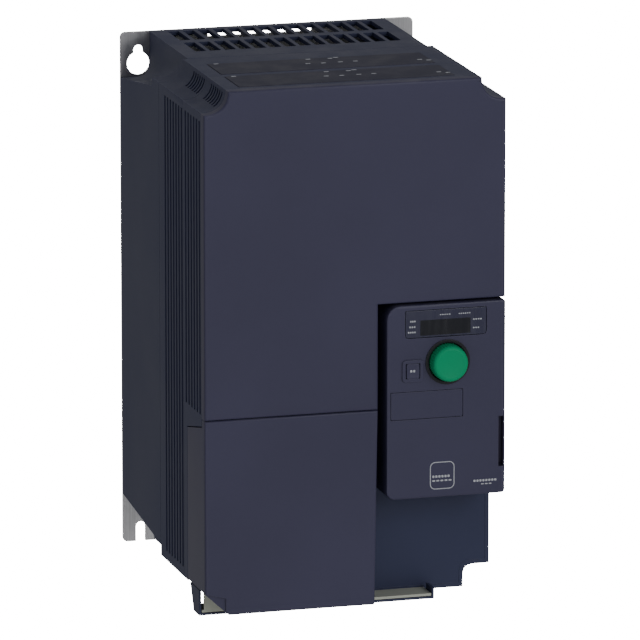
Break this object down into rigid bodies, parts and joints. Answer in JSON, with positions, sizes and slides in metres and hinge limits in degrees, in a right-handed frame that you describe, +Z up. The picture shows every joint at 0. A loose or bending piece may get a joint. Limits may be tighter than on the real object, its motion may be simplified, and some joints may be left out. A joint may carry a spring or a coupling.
{
  "type": "variable frequency drive",
  "caption": "Wall-mounted motor drive: vented case on a keyhole plate, heatsink with fans, pull-off covers and a plug-in keypad with jog dial.",
  "frame": {"origin": "middle of the mounting plate's rear face, where the drive meets the wall", "axes": "+X to the right seen from the front, +Y back into the wall, +Z up"},
  "size_m": [0.18, 0.199, 0.3109],
  "materials": {
    "cover_plastic": "fine moulded texture, satin",
    "case_plastic": "moulded, a little duller than the covers",
    "panel_plastic": "fine moulded texture, satin",
    "black_plastic": "moulded, plain",
    "plated_steel": "zinc plated sheet and screws",
    "raw_aluminium": "extruded, as drawn",
    "board_green": "solder mask over glass laminate",
    "dial_green": "satin, soft to the touch",
    "gland_grey": "pale moulded plate",
    "smoked_window": "polished, smoked",
    "terminal_grey": "glass filled, matt",
    "copper_wire": "enamelled winding"
  },
  "bodies": {
    "drive": {"mounting_plate": "plated_steel", "rear_shroud": "case_plastic", "main_housing": "case_plastic", "front_frame": "case_plastic", "vent_strip_rear": "black_plastic", "vent_strip_front": "black_plastic", "upper_front_cover": "cover_plastic", "cable_tray": "case_plastic", "gland_plate": "gland_grey", "heatsink": "raw_aluminium", "fan_frame_left": "black_plastic", "fan_frame_right": "black_plastic", "power_board": "board_green", "control_board": "board_green", "board_pillar_1": "plated_steel", "board_pillar_2": "plated_steel", "board_pillar_3": "plated_steel", "board_pillar_4": "plated_steel", "board_screw_1": "plated_steel", "board_screw_2": "plated_steel", "board_screw_3": "plated_steel", "board_screw_4": "plated_steel", "dc_capacitor_1": "black_plastic", "dc_capacitor_2": "black_plastic", "dc_capacitor_3": "black_plastic", "dc_capacitor_4": "black_plastic", "filter_choke": "copper_wire", "charging_relay": "terminal_grey", "power_module": "black_plastic", "module_screw_1": "plated_steel", "module_screw_2": "plated_steel", "power_terminals": "terminal_grey", "terminal_screw_1": "plated_steel", "terminal_screw_2": "plated_steel", "terminal_screw_3": "plated_steel", "terminal_screw_4": "plated_steel", "terminal_screw_5": "plated_steel", "terminal_screw_6": "plated_steel", "terminal_screw_7": "plated_steel", "control_terminals": "terminal_grey", "network_socket": "black_plastic", "earth_screw": "plated_steel", "panel_socket": "black_plastic"},
    "lower_cover": {"lower_front_cover": "cover_plastic"},
    "fan_rotor_left": {"fan_rotor_left": "black_plastic"},
    "fan_rotor_right": {"fan_rotor_right": "black_plastic"},
    "control_panel": {"panel_shell": "panel_plastic", "display_window": "smoked_window", "display_module": "black_plastic", "label_insert": "panel_plastic", "dial_ring": "black_plastic", "key_bezel": "panel_plastic", "keypad_board": "board_green", "encoder_body": "plated_steel", "key_switch": "black_plastic", "panel_plug": "black_plastic"},
    "dial_plunger": {"encoder_shaft": "plated_steel"},
    "jog_dial": {"jog_dial": "dial_green"},
    "escape_key": {"escape_key": "panel_plastic"}
  },
  "joints": [
    {"name": "cover_pull", "type": "slide", "parent": "drive", "child": "lower_cover", "axis": [0, -1, 0], "range_m": [0, 0.06]},
    {"name": "panel_pull", "type": "slide", "parent": "drive", "child": "control_panel", "axis": [0, -1, 0], "range_m": [0, 0.035]},
    {"name": "dial_press", "type": "slide", "parent": "control_panel", "child": "dial_plunger", "axis": [0, 1, 0], "range_m": [0, 0.0008], "stiffness_N_per_m": 1500, "springref_m": -0.0006},
    {"name": "dial_turn", "type": "hinge", "parent": "dial_plunger", "child": "jog_dial", "pos_m": [0.0549, -0.191, -0.0107], "axis": [0, -1, 0], "continuous": true},
    {"name": "key_press", "type": "slide", "parent": "control_panel", "child": "escape_key", "axis": [0, 1, 0], "range_m": [0, 0.0006], "stiffness_N_per_m": 1500, "springref_m": -0.0006},
    {"name": "fan_left_spin", "type": "hinge", "parent": "drive", "child": "fan_rotor_left", "pos_m": [-0.035, -0.035, -0.1091], "axis": [0, 0, 1], "continuous": true},
    {"name": "fan_right_spin", "type": "hinge", "parent": "drive", "child": "fan_rotor_right", "pos_m": [0.035, -0.035, -0.1091], "axis": [0, 0, 1], "continuous": true}
  ]
}
